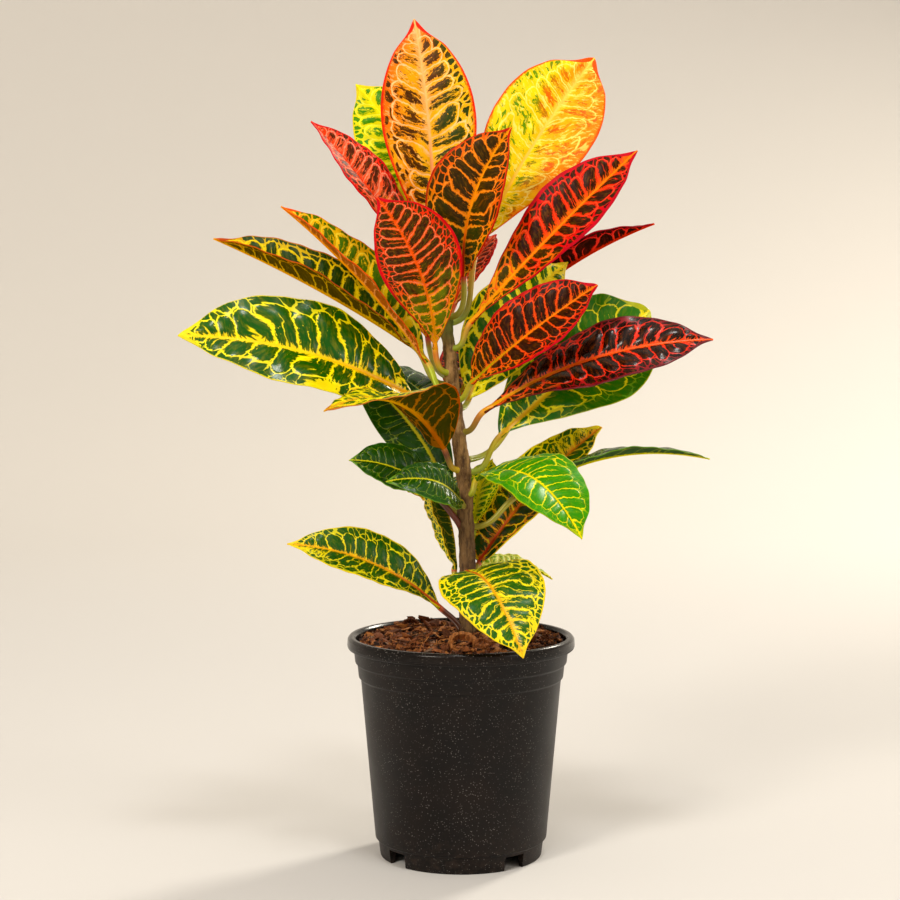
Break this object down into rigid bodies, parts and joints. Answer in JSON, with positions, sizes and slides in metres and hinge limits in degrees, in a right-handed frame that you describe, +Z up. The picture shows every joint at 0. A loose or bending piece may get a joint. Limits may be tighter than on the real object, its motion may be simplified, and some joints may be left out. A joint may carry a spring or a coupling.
{
  "type": "potted croton",
  "caption": "Croton house plant with large variegated green, yellow, orange and red leaves on one woody stem, standing in a black plastic nursery pot filled with bark mix.",
  "frame": {"origin": "middle of the pot's underside, on the surface it stands on", "axes": "+Z up along the plant, +X to the right as the plant is usually seen, -Y towards the viewer"},
  "size_m": [0.3881, 0.2445, 0.6232],
  "materials": {
    "pot_plastic": "black injection-moulded plastic with a satin sheen and fine dust",
    "potting_mix": "coarse brown bark chips and fibre, dry and matte",
    "bark": "grey-brown young bark with leaf scars, matte",
    "leaf_green": "glossy leathery leaf, green with yellow veins and margin",
    "leaf_red": "satin leathery leaf, dark cells with red veins and margin",
    "leaf_gold": "satin leathery leaf, orange and yellow with green flecks"
  },
  "bodies": {
    "root": {"nursery_pot": "pot_plastic", "potting_mix": "potting_mix", "stem": "bark", "leaf_crown_tall": "leaf_gold", "leaf_crown_gold": "leaf_gold", "leaf_crown_dark": "leaf_red", "leaf_crown_crimson": "leaf_red", "leaf_front_red": "leaf_red", "leaf_left_pink": "leaf_red", "leaf_back_lime": "leaf_green", "leaf_left_orange": "leaf_gold", "leaf_left_slender": "leaf_green", "leaf_left_broad": "leaf_green", "leaf_right_slender": "leaf_red", "leaf_right_maroon": "leaf_red", "leaf_right_striped": "leaf_green", "leaf_right_black": "leaf_red", "leaf_right_broad": "leaf_green", "leaf_left_arched": "leaf_green", "leaf_left_dark": "leaf_green", "leaf_left_small": "leaf_green", "leaf_front_small": "leaf_green", "leaf_right_drooping": "leaf_green", "leaf_right_far": "leaf_green", "leaf_right_yellow_tip": "leaf_green", "leaf_low_left_upright": "leaf_green", "leaf_low_left": "leaf_green", "leaf_low_front": "leaf_green", "leaf_low_right_back": "leaf_green", "leaf_low_back": "leaf_green", "leaf_back_left": "leaf_green", "leaf_back_young": "leaf_green", "leaf_back_1": "leaf_green", "leaf_back_2": "leaf_green", "leaf_back_3": "leaf_green", "leaf_back_4": "leaf_green", "leaf_back_5": "leaf_green"}
  },
  "joints": []
}
